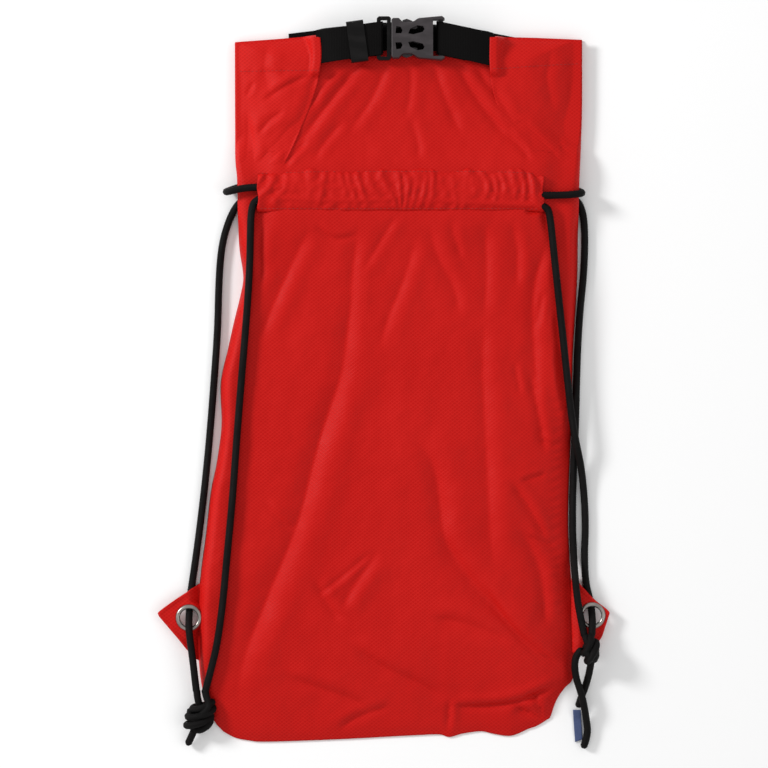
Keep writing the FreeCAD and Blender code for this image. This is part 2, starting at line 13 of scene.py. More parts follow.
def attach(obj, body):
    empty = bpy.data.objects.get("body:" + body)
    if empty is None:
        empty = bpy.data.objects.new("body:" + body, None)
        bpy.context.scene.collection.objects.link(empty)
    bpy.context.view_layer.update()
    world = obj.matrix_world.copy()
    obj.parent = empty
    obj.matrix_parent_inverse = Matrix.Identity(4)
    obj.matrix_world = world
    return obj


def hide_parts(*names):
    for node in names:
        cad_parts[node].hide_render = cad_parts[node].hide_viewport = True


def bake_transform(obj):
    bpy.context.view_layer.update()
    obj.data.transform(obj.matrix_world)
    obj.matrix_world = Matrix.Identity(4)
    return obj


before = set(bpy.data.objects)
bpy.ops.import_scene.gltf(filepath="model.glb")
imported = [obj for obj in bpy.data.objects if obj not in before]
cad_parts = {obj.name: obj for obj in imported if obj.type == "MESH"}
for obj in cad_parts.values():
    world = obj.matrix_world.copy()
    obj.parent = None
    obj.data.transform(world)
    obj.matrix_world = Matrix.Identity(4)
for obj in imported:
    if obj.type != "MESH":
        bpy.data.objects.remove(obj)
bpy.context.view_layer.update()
MM = 0.001


def show(made):
    bpy.context.scene.collection.objects.link(made)

# ---- camera

CAMERA_PLACE = (0.4, -3.0, 2500.0)
camera_data = bpy.data.cameras.new("camera")
camera_data.sensor_width = 36.0
camera_data.lens = 154.2
camera = bpy.data.objects.new("camera", camera_data)
camera.location = Vector(CAMERA_PLACE) * MM
show(camera)
bpy.context.scene.camera = camera

# ---- shapes of the soft goods

SHELL_TOP = 14.1          # height of the flat bag
CHANNEL_TOP = 21.1        # highest line of the front drawcord channel
CORD_DIAMETER = 5.5
CORD_RADIUS = CORD_DIAMETER / 2
IN_FRONT = 17.6           # z of a cord's centre inside the front channel
ON_FRONT = SHELL_TOP + CORD_RADIUS + 0.3
IN_BACK = 3.5
ON_FLOOR = CORD_RADIUS + 0.1

LEFT_EDGE = [
    (-121.5, -267), (-129, -258), (-137, -237), (-140.6, -205), (-139.6, -156), (-135, -118),
    (-131, -84), (-126.5, -62), (-123, -34), (-123.6, -2), (-118, 24), (-113.6, 44), (-109.4, 61),
    (-106.6, 75), (-107, 84), (-109.8, 105), (-110.8, 150), (-112.5, 175), (-112.9, 256)]
RIGHT_EDGE = [
    (126.5, -256.5), (131.5, -243), (137.5, -234), (143.2, -228), (144.6, -218), (144.2, -190), (143, -160),
    (141.2, -131), (140.3, -108), (140.9, -76), (142.6, -36), (143.2, -6), (144.2, 26), (146, 54),
    (147.4, 84), (147.8, 125), (148.6, 156), (150.4, 190), (150.9, 215), (150.9, 258)]
BOTTOM_EDGE = [
    (-121.5, -267), (-113, -271.5), (-103, -273.6), (-88, -274.7), (-33, -272.8), (20, -270), (42, -269.2),
    (50, -271.2), (60, -268.6), (74, -266.8), (84, -268.8), (97, -270.2), (110, -265), (117, -262.4),
    (126.5, -256.5)]
TOP_EDGE = [
    (-112.9, 256), (-70, 259.4), (-33, 264), (5, 266.6), (47, 264.4), (80, 260.5), (150.9, 258)]

# Cord routes, as in the part: the control points of each run.
CORDS = {
    "cord_left_inner_run": [
        (-87, 138, IN_FRONT), (-96.8, 137, IN_FRONT), (-100, 127.6, ON_FRONT), (-100.4, 111, ON_FRONT),
        (-101, 84, ON_FRONT), (-103.4, 46, ON_FRONT), (-107.2, 1, ON_FRONT), (-110.9, -46, ON_FRONT),
        (-114.2, -93, ON_FRONT), (-118.2, -134, ON_FRONT), (-121.4, -170, ON_FRONT),
        (-125.6, -200, ON_FRONT), (-130.6, -220, 15.4), (-135.2, -237, 11.6)],
    "cord_left_outer_run": [
        (-96, 138.4, IN_BACK), (-105.4, 138, IN_BACK), (-112.4, 131.4, 3.1), (-118.4, 118.4, ON_FLOOR),
        (-123, 101, ON_FLOOR), (-125, 75, ON_FLOOR), (-125.8, 38, ON_FLOOR), (-128.4, 2, ON_FLOOR),
        (-131.6, -40, ON_FLOOR), (-136, -85, ON_FLOOR), (-141.4, -128, ON_FLOOR), (-144.9, -152, ON_FLOOR),
        (-147.2, -167, ON_FLOOR), (-147.4, -177.4, 3.2), (-147.3, -186.4, 12.6), (-146.2, -197, 12.8),
        (-144.2, -212, 11.6), (-141.4, -237, 10.4)],
    "cord_right_inner_run": [
        (113, 132.6, IN_FRONT), (123.6, 132, IN_FRONT), (126, 121.6, ON_FRONT), (127.8, 104, ON_FRONT),
        (131.2, 72, 16.8), (135.2, 36, 14.6), (139.4, -2, 12.4), (142.4, -29, 11.9), (145.8, -48, 11.4),
        (150, -66, 5.8), (152.4, -88, ON_FLOOR), (153.4, -110, ON_FLOOR), (152.4, -135, ON_FLOOR),
        (153.4, -154, ON_FLOOR), (156.6, -166, ON_FLOOR), (158.1, -175.6, 3.2), (158.2, -184.8, 12.6),
        (157.4, -194.5, 12.4)],
    "cord_right_outer_run": [
        (128, 140.4, IN_BACK), (138, 140.2, IN_BACK), (147.4, 136.6, 3.2), (151.8, 126.6, ON_FLOOR),
        (153, 108, ON_FLOOR), (152, 80, ON_FLOOR), (149.2, 54, ON_FLOOR), (147.4, 26, ON_FLOOR),
        (146.4, -6, ON_FLOOR), (145.8, -36, ON_FLOOR), (143.8, -76, ON_FLOOR), (143.4, -110, ON_FLOOR),
        (144.2, -131, 3.4), (144.8, -146, 9.8), (146.2, -162, 12.0), (148.6, -178, 12.2),
        (152.4, -195, 12.0)],
    "cord_left_side_loop": [
        (113, 139.4, IN_FRONT), (131, 139.2, IN_FRONT), (150, 140.6, 17.4), (150.4, 142.6, 3.8),
        (137, 147.6, IN_BACK), (128, 148, IN_BACK)],
    "cord_right_side_loop": [
        (-87, 145.6, IN_FRONT), (-102, 145.8, IN_FRONT), (-118.8, 141.8, 17.2), (-119, 143.2, 3.8),
        (-105.6, 147.8, IN_BACK), (-96, 148, IN_BACK)],
    "cord_left_in_front_channel": [
        (-87, 138, IN_FRONT), (-50, 136, IN_FRONT), (-8, 136, IN_FRONT), (6, 137, IN_FRONT),
        (20, 144, IN_FRONT), (34, 144.8, IN_FRONT), (74, 140.6, IN_FRONT), (113, 139.4, IN_FRONT)],
    "cord_right_in_front_channel": [
        (113, 132.6, IN_FRONT), (74, 134, IN_FRONT), (34, 136, IN_FRONT), (20, 136.6, IN_FRONT),
        (6, 144.2, IN_FRONT), (-8, 145, IN_FRONT), (-50, 145.4, IN_FRONT), (-87, 145.6, IN_FRONT)],
    "cord_left_in_back_channel": [
        (128, 148, IN_BACK), (78, 149.4, IN_BACK), (38, 149.4, IN_BACK), (24, 148.2, IN_BACK),
        (10, 139.8, IN_BACK), (-4, 138.6, IN_BACK), (-44, 138, IN_BACK), (-96, 138.4, IN_BACK)],
    "cord_right_in_back_channel": [
        (-96, 148, IN_BACK), (-44, 149.4, IN_BACK), (-4, 149.2, IN_BACK), (10, 148, IN_BACK),
        (24, 139.8, IN_BACK), (38, 138.8, IN_BACK), (78, 139, IN_BACK), (128, 140.4, IN_BACK)],
    "cord_right_tail_front": [
        (150.6, -203, 13.2), (146.2, -207, 12.6), (144.4, -214.5, 11.2), (145.6, -225, 8.8),
        (149.4, -236, 8.8), (151.8, -246, 8.8), (154, -258, 4.4), (155.4, -270, ON_FLOOR),
        (151.4, -279.5, ON_FLOOR)],
    "cord_right_tail_back": [
        (157.6, -209, 12.6), (156.6, -219, 7.6), (153.8, -231.6, ON_FLOOR), (149.4, -242.5, ON_FLOOR),
        (147.6, -248.6, ON_FLOOR)],
    "cord_left_tail": [(-143, -264, 7), (-145.4, -270, 5.4), (-148.8, -277, 4.2)],
}

# ---- materials


class Shader:
    """A Principled material with short calls for its nodes."""

    def __init__(self, name, color, roughness, **sockets):
        self.material = bpy.data.materials.new(name)
        self.material.use_nodes = True
        self.tree = self.material.node_tree
        self.bsdf = self.tree.nodes["Principled BSDF"]
        self.bsdf.inputs["Base Color"].default_value = (*color, 1)
        self.bsdf.inputs["Roughness"].default_value = roughness
        for socket, value in sockets.items():
            self.bsdf.inputs[socket.replace("_", " ")].default_value = value

    def node(self, kind, **settings):
        made = self.tree.nodes.new("ShaderNode" + kind)
        for key, value in settings.items():
            setattr(made, key, value)
        return made

    def link(self, output, target):
        self.tree.links.new(output, target)

    def math(self, operation, a, b):
        made = self.node("Math", operation=operation)
        for socket, value in zip(made.inputs, (a, b)):
            if isinstance(value, (int, float)):
                socket.default_value = value
            else:
                self.link(value, socket)
        return made.outputs[0]

    def coordinates(self, source="UV", scale=(1, 1, 1), angle=0.0):
        mapping = self.node("Mapping")
        mapping.inputs["Scale"].default_value = scale
        mapping.inputs["Rotation"].default_value = (0, 0, angle)
        self.link(self.node("TexCoord").outputs[source], mapping.inputs["Vector"])
        return mapping.outputs["Vector"]

    def bands(self, pitch, angle, source="UV", direction="X"):
        """Sine bands that repeat every pitch millimetres."""
        wave = self.node("TexWave", bands_direction=direction)
        wave.inputs["Scale"].default_value = 2 * math.pi / (20 * pitch * MM)
        self.link(self.coordinates(source, angle=angle), wave.inputs["Vector"])
        return wave.outputs["Fac"]

    def noise(self, scale, detail=4.0, source="Object", stretch=(1, 1, 1)):
        texture = self.node("TexNoise")
        texture.inputs["Scale"].default_value = scale
        texture.inputs["Detail"].default_value = detail
        self.link(self.coordinates(source, stretch), texture.inputs["Vector"])
        return texture.outputs["Fac"]

    def ramp(self, value, low, high, from_low=0.3, from_high=0.7):
        """value, a 0 to 1 signal, mapped on to low to high."""
        spread = self.node("MapRange")
        self.link(value, spread.inputs["Value"])
        for socket, number in zip(("From Min", "From Max", "To Min", "To Max"),
                                  (from_low, from_high, low, high)):
            spread.inputs[socket].default_value = number
        return spread.outputs["Result"]

    def tint(self, value, dark, light):
        """Base colour between two colours, by a 0 to 1 signal."""
        mix = self.node("Mix", data_type="RGBA")
        self.link(value, mix.inputs["Factor"])
        mix.inputs["A"].default_value = (*dark, 1)
        mix.inputs["B"].default_value = (*light, 1)
        self.link(mix.outputs["Result"], self.bsdf.inputs["Base Color"])

    def bump(self, *layers):
        """Bump from (height, distance in mm) layers, one on another."""
        below = None
        for height, distance in layers:
            bump = self.node("Bump")
            bump.inputs["Distance"].default_value = distance * MM
            self.link(height, bump.inputs["Height"])
            if below:
                self.link(below, bump.inputs["Normal"])
            below = bump.outputs["Normal"]
        self.link(below, self.bsdf.inputs["Normal"])


RIPSTOP_PITCH, RIPSTOP_ANGLE = 2.15, math.radians(38)


def ripstop():
    """Thin coated nylon: a diamond grid of thicker threads, faint crinkles and a soft sheen."""
    cloth = Shader("ripstop_red", (0.55, 0.004, 0.003), 0.58, Specular_IOR_Level=0.1)
    one = cloth.math("POWER", cloth.bands(RIPSTOP_PITCH, RIPSTOP_ANGLE, direction="Y"), 5.0)
    two = cloth.math("POWER", cloth.bands(RIPSTOP_PITCH, -RIPSTOP_ANGLE, direction="Y"), 5.0)
    grid = cloth.math("MAXIMUM", one, two)
    threads = cloth.math("MULTIPLY", cloth.bands(0.34, 0.0), cloth.bands(0.34, 0.0, direction="Y"))
    crinkle = cloth.noise(60.0, 5.0, stretch=(1.0, 0.6, 1.0))
    patches = cloth.noise(14.0, 3.0)
    shade = cloth.math("ADD", cloth.math("MULTIPLY", grid, 0.6), cloth.math("MULTIPLY", patches, 0.4))
    cloth.tint(shade, (0.44, 0.0022, 0.0016), (0.6, 0.013, 0.0095))
    cloth.link(cloth.ramp(crinkle, 0.46, 0.62), cloth.bsdf.inputs["Roughness"])
    cloth.bump((crinkle, 0.5), (patches, 0.8), (grid, 0.1), (threads, 0.012))
    return cloth.material


def webbing():
    """Black flat webbing: ribs across its length, worn a little lighter at the crowns."""
    tape = Shader("webbing_black", (0.008, 0.007, 0.007), 0.8, Specular_IOR_Level=0.08)
    ribs = tape.bands(1.25, 0.0, direction="Y")
    yarns = tape.bands(0.8, 0.0, direction="X")
    weave = tape.math("MULTIPLY", ribs, yarns)
    wear = tape.noise(45.0, 6.0)
    tape.tint(tape.math("MULTIPLY", weave, wear), (0.0016, 0.0013, 0.0013), (0.008, 0.0068, 0.0066))
    tape.link(tape.ramp(wear, 0.62, 0.82), tape.bsdf.inputs["Roughness"])
    tape.bump((weave, 0.18), (tape.noise(900.0, 2.0), 0.05))
    return tape.material


def braid():
    """Black braided cord; its UV runs round the cord and along it, in metres."""
    cord = Shader("cord_black", (0.007, 0.006, 0.006), 0.72, Specular_IOR_Level=0.13)
    wear = cord.noise(70.0, 4.0)
    fibres = cord.bands(0.35, 0.5)
    cord.tint(cord.math("MULTIPLY", wear, fibres), (0.0012, 0.0009, 0.0009), (0.0085, 0.007, 0.0068))
    cord.link(cord.ramp(wear, 0.58, 0.8), cord.bsdf.inputs["Roughness"])
    cord.bump((fibres, 0.06), (cord.noise(1500.0, 2.0), 0.04))
    return cord.material


def plastic(name, color, roughness, specular):
    """Moulded plastic with a fine satin grain and light scuffs."""
    body = Shader(name, color, roughness, Specular_IOR_Level=specular)
    grain = body.noise(900.0, 2.0)
    scuffs = body.noise(55.0, 6.0, stretch=(1, 3, 1))
    lighter = tuple(min(1.0, c * 1.8 + 0.002) for c in color)
    body.tint(body.ramp(scuffs, 0.0, 1.0, 0.45, 0.75), color, lighter)
    body.link(body.ramp(scuffs, roughness - 0.06, roughness + 0.12), body.bsdf.inputs["Roughness"])
    body.bump((grain, 0.02), (scuffs, 0.03))
    return body.material


def nickel():
    """Nickel plate, rubbed and slightly dull."""
    metal = Shader("nickel", (0.35, 0.32, 0.3), 0.26, Metallic=1.0)
    rubbed = metal.noise(160.0, 5.0)
    metal.tint(rubbed, (0.16, 0.14, 0.13), (0.5, 0.47, 0.44))
    metal.link(metal.ramp(rubbed, 0.2, 0.42), metal.bsdf.inputs["Roughness"])
    metal.bump((metal.noise(500.0, 3.0), 0.02),)
    return metal.material


def woven_label():
    """Plain blue woven label with fine picks."""
    label = Shader("label_blue", (0.055, 0.085, 0.2), 0.75)
    picks = label.math("MULTIPLY", label.bands(0.5, 0.0), label.bands(0.35, 0.0, direction="Y"))
    label.tint(picks, (0.03, 0.05, 0.14), (0.14, 0.19, 0.36))
    label.bump((picks, 0.06),)
    return label.material


def stitching(name, color):
    """Twisted sewing thread."""
    thread = Shader(name, color, 0.6)
    twist = thread.bands(0.4, 0.6, source="Object")
    thread.bump((twist, 0.06),)
    return thread.material


CLOTH = ripstop()
WEBBING = webbing()
BRAID = braid()
SOCKET_PLASTIC = plastic("socket_plastic", (0.03, 0.025, 0.027), 0.42, 0.32)
INSERT_PLASTIC = plastic("insert_plastic", (0.0025, 0.002, 0.002), 0.34, 0.16)
NICKEL = nickel()
LABEL = woven_label()
RED_THREAD = stitching("thread_red", (0.36, 0.014, 0.012))

# ---- mesh helpers


def smooth_step(value, low, high):
    t = np.clip((value - low) / (high - low), 0, 1)
    return t * t * (3 - 2 * t)


def bell(value, width):
    return np.exp(-(value / width) ** 2)


def distances(path):
    """How far along a path each of its points is."""
    return np.concatenate([[0], np.cumsum(np.linalg.norm(np.diff(path, axis=0), axis=1))])


def spaced(line, count):
    """count points at even steps along a line."""
    along = distances(line)
    steps = np.linspace(0, along[-1], count)
    return np.column_stack([np.interp(steps, along, line[:, k]) for k in range(line.shape[1])])


def resample(points, count):
    """count points at even steps along a smooth line through the given ones."""
    points = np.asarray(points, float)
    ends = np.vstack([2 * points[0] - points[1], points, 2 * points[-1] - points[-2]])
    t = np.linspace(0, 1, 12, endpoint=False)[:, None]
    line = []
    for a, b, c, d in zip(ends, ends[1:], ends[2:], ends[3:]):
        line.append(0.5 * (2 * b + (c - a) * t + (2 * a - 5 * b + 4 * c - d) * t ** 2
                           + (3 * b - a - 3 * c + d) * t ** 3))
    return spaced(np.vstack([*line, points[-1:]]), count)


def along_line(x, y, line):
    """For each point its signed distance from a line, and where along it, from 0 to 1."""
    line = np.asarray(line, float)
    start = distances(line)
    lengths = np.diff(start)
    best = np.full(x.shape, 1e9)
    side = np.zeros(x.shape)
    place = np.zeros(x.shape)
    for k, (a, b) in enumerate(zip(line, line[1:])):
        direction = (b - a) / lengths[k]
        reach = np.clip((x - a[0]) * direction[0] + (y - a[1]) * direction[1], 0, lengths[k])
        dx, dy = x - a[0] - reach * direction[0], y - a[1] - reach * direction[1]
        gap = np.hypot(dx, dy)
        nearer = gap < best
        best = np.where(nearer, gap, best)
        side = np.where(nearer, np.sign(dx * direction[1] - dy * direction[0]), side)
        place = np.where(nearer, (start[k] + reach) / start[-1], place)
    return best * side, place


def piece(name, points, faces, material, body, uv=None):
    """A mesh piece from points in millimetres; uv has one pair per point, in metres."""
    mesh = bpy.data.meshes.new(name)
    mesh.from_pydata((np.asarray(points) * MM).tolist(), [], faces)
    mesh.shade_smooth()
    if uv is not None:
        layer = mesh.uv_layers.new(name="flat")
        corners = np.empty(len(mesh.loops), int)
        mesh.loops.foreach_get("vertex_index", corners)
        layer.data.foreach_set("uv", np.asarray(uv)[corners].ravel())
    mesh.materials.append(material)
    made = bpy.data.objects.new(name, mesh)
    show(made)
    if body:
        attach(made, body)
    return made


def grid_faces(rows, columns, first=0, flip=False, wrap=False):
    """Quads of a grid of points stored row by row."""
    faces = []
    for r in range(rows - 1):
        for c in range(columns if wrap else columns - 1):
            a = first + r * columns + c
            b = first + r * columns + (c + 1) % columns
            quad = (a, b, b + columns, a + columns)
            faces.append(quad[::-1] if flip else quad)
    return faces


def patch(left, right, low, high):
    """x and y of a grid between four edges that meet at their ends; its rows go from low to high."""
    u = np.linspace(0, 1, len(low))[None, :, None]
    v = np.linspace(0, 1, len(left))[:, None, None]
    left, right, low, high = left[:, None], right[:, None], low[None], high[None]
    flat = (1 - u) * left + u * right + (1 - v) * low + v * high
    flat = flat - (1 - v) * ((1 - u) * low[:, :1] + u * low[:, -1:])
    flat = flat - v * ((1 - u) * high[:, :1] + u * high[:, -1:])
    return flat[..., 0], flat[..., 1]


def columned(*coordinates):
    """Points from grids of their coordinates."""
    return np.column_stack([c.ravel() for c in coordinates])


def thicken(made, thickness, offset=-1.0):
    solid = made.modifiers.new("thickness", "SOLIDIFY")
    solid.thickness = thickness * MM
    solid.offset = offset
    return made


def round_edges(made, width, segments, least_angle):
    rounded = made.modifiers.new("rounded_edges", "BEVEL")
    rounded.width = width * MM
    rounded.segments = segments
    rounded.limit_method = "ANGLE"
    rounded.angle_limit = math.radians(least_angle)


# ---- the bag's cloth

# Valleys in the front: (line, width, depth, ridge beside it). A ridge stands to the line's left.
FOLDS = [
    ([(-24, 60), (-31, 8), (-48, -45), (-65, -109), (-87, -163), (-107, -216), (-113, -256)], 10, 4.2, 2.0),
    ([(14, -33), (33, -56), (41, -78), (47, -120), (65, -150), (94, -184), (133, -229)], 9, 3.6, 1.8),
    ([(77, 60), (75, 8), (78, -56), (81, -120), (86, -160)], 8, 2.2, 1.2),
    ([(110, 10), (116, -18), (123, -58)], 4, 2.4, 0.9),
    ([(94, -73), (109, -95), (125, -124)], 4, 2.2, 0.9),
    ([(102, -77), (124, -70)], 2.2, 1.4, 0.6),
    ([(108, -117), (132, -126)], 2.2, 1.4, 0.6),
    ([(118, -44), (135, -52)], 2.0, 1.2, 0.5),
    ([(-53, -150), (-40, -172), (-30, -183)], 4.5, 2.0, 1.0),
    ([(-28, -198), (-2, -216), (30, -231), (53, -246)], 6, 2.6, 1.3),
    ([(-80, -222), (-55, -231), (-23, -242), (0, -255)], 5, 1.8, 1.1),
    ([(-37, -270), (-23, -257), (8, -246)], 4, 1.6, 0.9),
    ([(50, -240), (49, -272)], 3, 2.4, 1.2),
    ([(46, -247), (76, -247), (103, -243), (139, -228)], 3.6, 3.4, 1.6),
    ([(98, -247), (112, -253), (126, -259)], 4.5, 3.6, 1.2),
    ([(112, -236), (119, -248), (121, -262)], 2.6, 2.2, 1.0),
    ([(31, -180), (62, -184), (98, -199)], 6, 2.0, 1.0),
    ([(-2, -127), (-21, -154), (-34, -178)], 5, 1.6, 1.0),
    ([(-8, -129), (-30, -148), (-52, -165)], 2.6, 1.3, 0.8),
    ([(101, -110), (118, -142), (124, -190)], 6, 2.4, 1.1),
    ([(72, -150), (100, -190), (140, -222)], 3.2, 1.6, 0.9),
    ([(-91, -92), (-76, -108), (-66, -114)], 3, 1.3, 0.6),
    ([(-18, 120), (-23, 85), (-25, 53), (-31, 11)], 7, 2.0, 1.0),
    ([(27, 112), (15, 75), (3, 45), (-4, 18)], 6, 1.7, 0.9),
    ([(-54, 119), (-66, 94), (-80, 64), (-96, 26)], 6, 1.8, 1.0),
    ([(-52, 118), (-38, 107), (-18, 110)], 2.6, 1.3, 0.6),
    ([(33, 121), (41, 94), (54, 68), (58, 43)], 5, 1.5, 0.8),
    ([(50, 119), (60, 90)], 3.4, 1.2, 0.5),
    ([(77, 122), (78, 85), (76, 43)], 6, 1.6, 0.9),
    ([(125, 110), (114, 68), (114, 22), (118, -20)], 6, 2.4, 1.1),
    ([(121, 68), (116, 38)], 3, 1.5, 0.5),
    ([(12, 128), (-2, 105), (-17, 80)], 4, 1.3, 0.6),
    ([(99, 14), (104, -12)], 2.6, 1.3, 0.5),
    ([(-90, 122), (-93, 100), (-92, 68)], 4.5, 1.6, 0.8),
    ([(96, 122), (101, 100), (101, 68)], 4.5, 1.6, 0.8),
    ([(-12, 246), (-36, 216), (-66, 176)], 4.5, 2.8, 1.0),
    ([(53, 244), (71, 213), (98, 178)], 4.5, 2.6, 1.0),
    ([(36, 244), (47, 213), (61, 182)], 4.5, 1.7, 0.7),
    ([(5, 244), (-8, 214), (-27, 186)], 4.5, 1.6, 0.7),
    ([(20, 243), (21, 220), (16, 196)], 4, 1.2, 0.5),
    ([(68, 240), (86, 214), (104, 196)], 4, 1.6, 0.7),
    ([(-30, 238), (-46, 222), (-56, 204)], 3.6, 1.6, 0.7),
    ([(-29, 197), (-44, 180), (-53, 165)], 3.5, 1.3, 0.6),
    ([(-57, 181), (-70, 168), (-75, 157)], 2.6, 2.0, 0.8),
    ([(20, 200), (26, 180), (26, 164)], 4, 1.2, 0.5),
    ([(92, 188), (104, 176), (112, 164)], 3.2, 1.8, 0.8),
]
FLAP_LEFT_FOLDS = [
    ([(-49, 240), (-56, 207), (-67, 184), (-80, 156)], 5, 3.0, 1.2),
    ([(-65, 197), (-77, 178), (-98, 157)], 4.5, 2.8, 1.2),
    ([(-93, 210), (-74, 222), (-55, 231)], 3, 1.5, 0.7),
    ([(-104, 206), (-100, 175), (-102, 150)], 4.5, 2.0, 0.9),
    ([(-86, 258), (-90, 236), (-84, 212)], 6, 1.2, 0.6),
    ([(-98, 226), (-104, 214)], 2.4, 1.2, 0.5),
    ([(-74, 204), (-86, 196), (-96, 184)], 3.2, 1.4, 0.6),
]
FLAP_RIGHT_FOLDS = [
    ([(100, 197), (113, 183), (136, 159)], 5, 3.0, 1.2),
    ([(82, 226), (90, 206), (100, 184)], 5, 1.8, 0.8),
    ([(128, 254), (124, 228), (130, 202)], 6, 1.4, 0.7),
    ([(142, 228), (147, 212), (144, 194)], 3, 1.6, 0.6),
    ([(137, 187), (148, 180)], 2, 1.4, 0.5),
    ([(133, 177), (146, 171)], 2, 1.4, 0.5),
    ([(141, 206), (150, 200)], 2, 1.2, 0.5),
]


STEEP_SIDE = 2.6          # how much faster a fold falls from its ridge than it rises beyond


def crumple(x, y, size, seed):
    """Smooth random height from -1 to 1 with features of the given size."""
    flat = zip(x.ravel(), y.ravel())
    values = [noise.noise(Vector((a / size, b / size, seed))) for a, b in flat]
    return np.array(values).reshape(x.shape) * 1.6


def fold_height(x, y, folds):
    """Height of the creases: each is a valley with a steep side towards its ridge."""
    height = np.zeros(x.shape)
    for line, width, depth, ridge in folds:
        gap, place = along_line(x, y, resample(line, 4 * len(line)))
        ends = smooth_step(place, 0, 0.25) * (1 - smooth_step(place, 0.75, 1))
        steep = np.where(gap > 0, 1.0, STEEP_SIDE)
        round_part = np.exp(-((gap / width) ** 2) * steep)
        sharp_part = np.exp(-np.abs(gap) / width * 2.0 * steep ** 0.5)
        valley = 0.5 * round_part + 0.5 * sharp_part
        crest = bell(gap + 1.5 * width, 1.1 * width)
        height += ends * (ridge * crest - depth * valley)
    return height


outline = np.vstack([resample(LEFT_EDGE, 90), resample(TOP_EDGE, 60)[1:],
                     resample(RIGHT_EDGE, 90)[::-1][1:], resample(BOTTOM_EDGE, 60)[::-1][1:]])


def inside_edge(x, y):
    """Distance in from the bag's outline."""
    return np.abs(along_line(x, y, outline)[0])


def back_lift(y):
    """Height of the back panel, which rides over the back channel."""
    return 0.3 + 7.3 * smooth_step(y, 108, 129) * (1 - smooth_step(y, 164, 190))


def edge_at(edge, y):
    return np.interp(y, [p[1] for p in edge], [p[0] for p in edge])


def taper(distance, reach, power, least):
    """From least at an edge up to 1 at reach millimetres in from it."""
    return least + (1 - least) * (1 - (1 - np.clip(distance / reach, 0, 1)) ** power)


def fullness(x, y, inset):
    """How full the bag stands, from 0 at its outline to 1: plump under the cords, thin at its other edges."""
    side = taper(inset, 9.5 - 5.5 * smooth_step(y, 128, 165), 2.8, 0.0)
    bottom = np.interp(x, [p[0] for p in BOTTOM_EDGE], [p[1] for p in BOTTOM_EDGE])
    top = np.interp(x, [p[0] for p in TOP_EDGE], [p[1] for p in TOP_EDGE])
    right = taper(edge_at(RIGHT_EDGE, y) - x, 46, 1.7, 0.14)
    left = taper(x - edge_at(LEFT_EDGE, y), 42, 1.7, 0.24)
    neck = smooth_step(y, 158, 186)
    slack_right = 1 - (1 - right) * np.maximum(1 - smooth_step(y, -72, 10), neck)
    slack_left = 1 - (1 - left) * neck
    shares = [taper(y - bottom, 70, 1.5, 0.1), taper(top - y, 20, 1.7, 0.3), slack_right, slack_left]
    return side * np.minimum.reduce(shares)


CHANNEL_Y = 142.5         # middle of the drawcord channels
# Puckers beside each side seam: the edge, from and to which y, pitch and depth.
SIDE_PUCKERS = ((RIGHT_EDGE, -190, 20, 7.5, 0.7), (LEFT_EDGE, -220, 60, 13.0, 0.16))


def front_height(x, y, inset):
    """Height of the bag's front surface."""
    rim = back_lift(y) + 0.9
    flat_zone = smooth_step(np.abs(y - 142), 14, 26)
    relief = fold_height(x, y, FOLDS) * (0.1 + 0.9 * flat_zone)
    relief += 0.7 * crumple(x, y, 38, 3.1) + 0.34 * crumple(x, y, 14, 7.7) + 0.11 * crumple(x, y, 5, 1.9)
    for edge, low, high, pitch, depth in SIDE_PUCKERS:
        near = bell(np.abs(x - edge_at(edge, y)) - 8, 5.0)
        window = smooth_step(y, low, low + 30) * (1 - smooth_step(y, high - 30, high))
        waver = 2.4 * crumple(x, y, 18, 5.3)
        relief += depth * near * window * np.sin(2 * math.pi * y / pitch + waver)
    shoulder = bell(np.abs(y - CHANNEL_Y) - 16, 19.0) * smooth_step(inset, 12, 34)
    height = rim + (SHELL_TOP - 0.6 - rim) * fullness(x, y, inset) + relief * smooth_step(inset, 0, 16)
    height += 4.3 * shoulder
    for run in ("cord_left_inner_run", "cord_right_inner_run"):
        route = resample(CORDS[run], 60)
        gap, _ = along_line(x, y, route[:, :2])
        under = np.interp(y, route[::-1, 1], route[::-1, 2]) - CORD_RADIUS - 0.25
        pressed = np.where(y < 128, under, 99.0) + 0.12 * np.clip(np.abs(gap) - 3.0, 0, 99) ** 2
        height = np.minimum(height, np.maximum(pressed, back_lift(y) + 0.7))
    return np.clip(height, back_lift(y) + 0.6, SHELL_TOP + 4.6)


COLUMNS, ROWS = 165, 330
RIM_THICKNESS = 1.1       # of the two panels where they are sewn together


def bag_cloth():
    """The lower bag and its neck: one closed shell, front and back joined round the outline."""
    x, y = patch(resample(LEFT_EDGE, ROWS), resample(RIGHT_EDGE, ROWS),
                 resample(BOTTOM_EDGE, COLUMNS), resample(TOP_EDGE, COLUMNS))
    inset = inside_edge(x, y)
    front = front_height(x, y, inset)
    back = back_lift(y) + 0.15 * crumple(x, y, 20, 9.2) * smooth_step(inset, 0, 10) + 0.12
    front = np.where(inset < 0.05, back_lift(y) + RIM_THICKNESS, front)
    count = ROWS * COLUMNS
    points = np.vstack([columned(x, y, height) for height in (front, back)])
    faces = grid_faces(ROWS, COLUMNS) + grid_faces(ROWS, COLUMNS, count, flip=True)
    loop = (list(range(COLUMNS)) + [r * COLUMNS + COLUMNS - 1 for r in range(1, ROWS)]
            + [(ROWS - 1) * COLUMNS + c for c in range(COLUMNS - 2, -1, -1)]
            + [r * COLUMNS for r in range(ROWS - 2, 0, -1)])
    faces += [(b, a, a + count, b + count) for a, b in zip(loop, loop[1:] + loop[:1])]
    cloth = piece("bag_cloth", points, faces, CLOTH, None, points[:, :2] * MM)
    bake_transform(cloth)
    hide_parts("back_panel", "front_panel", "bottom_panel", "side_gusset_left",
                "side_gusset_right", "neck_back", "neck_front", "neck_side_left", "neck_side_right")


bag_cloth()

# ---- the folded corners of the mouth

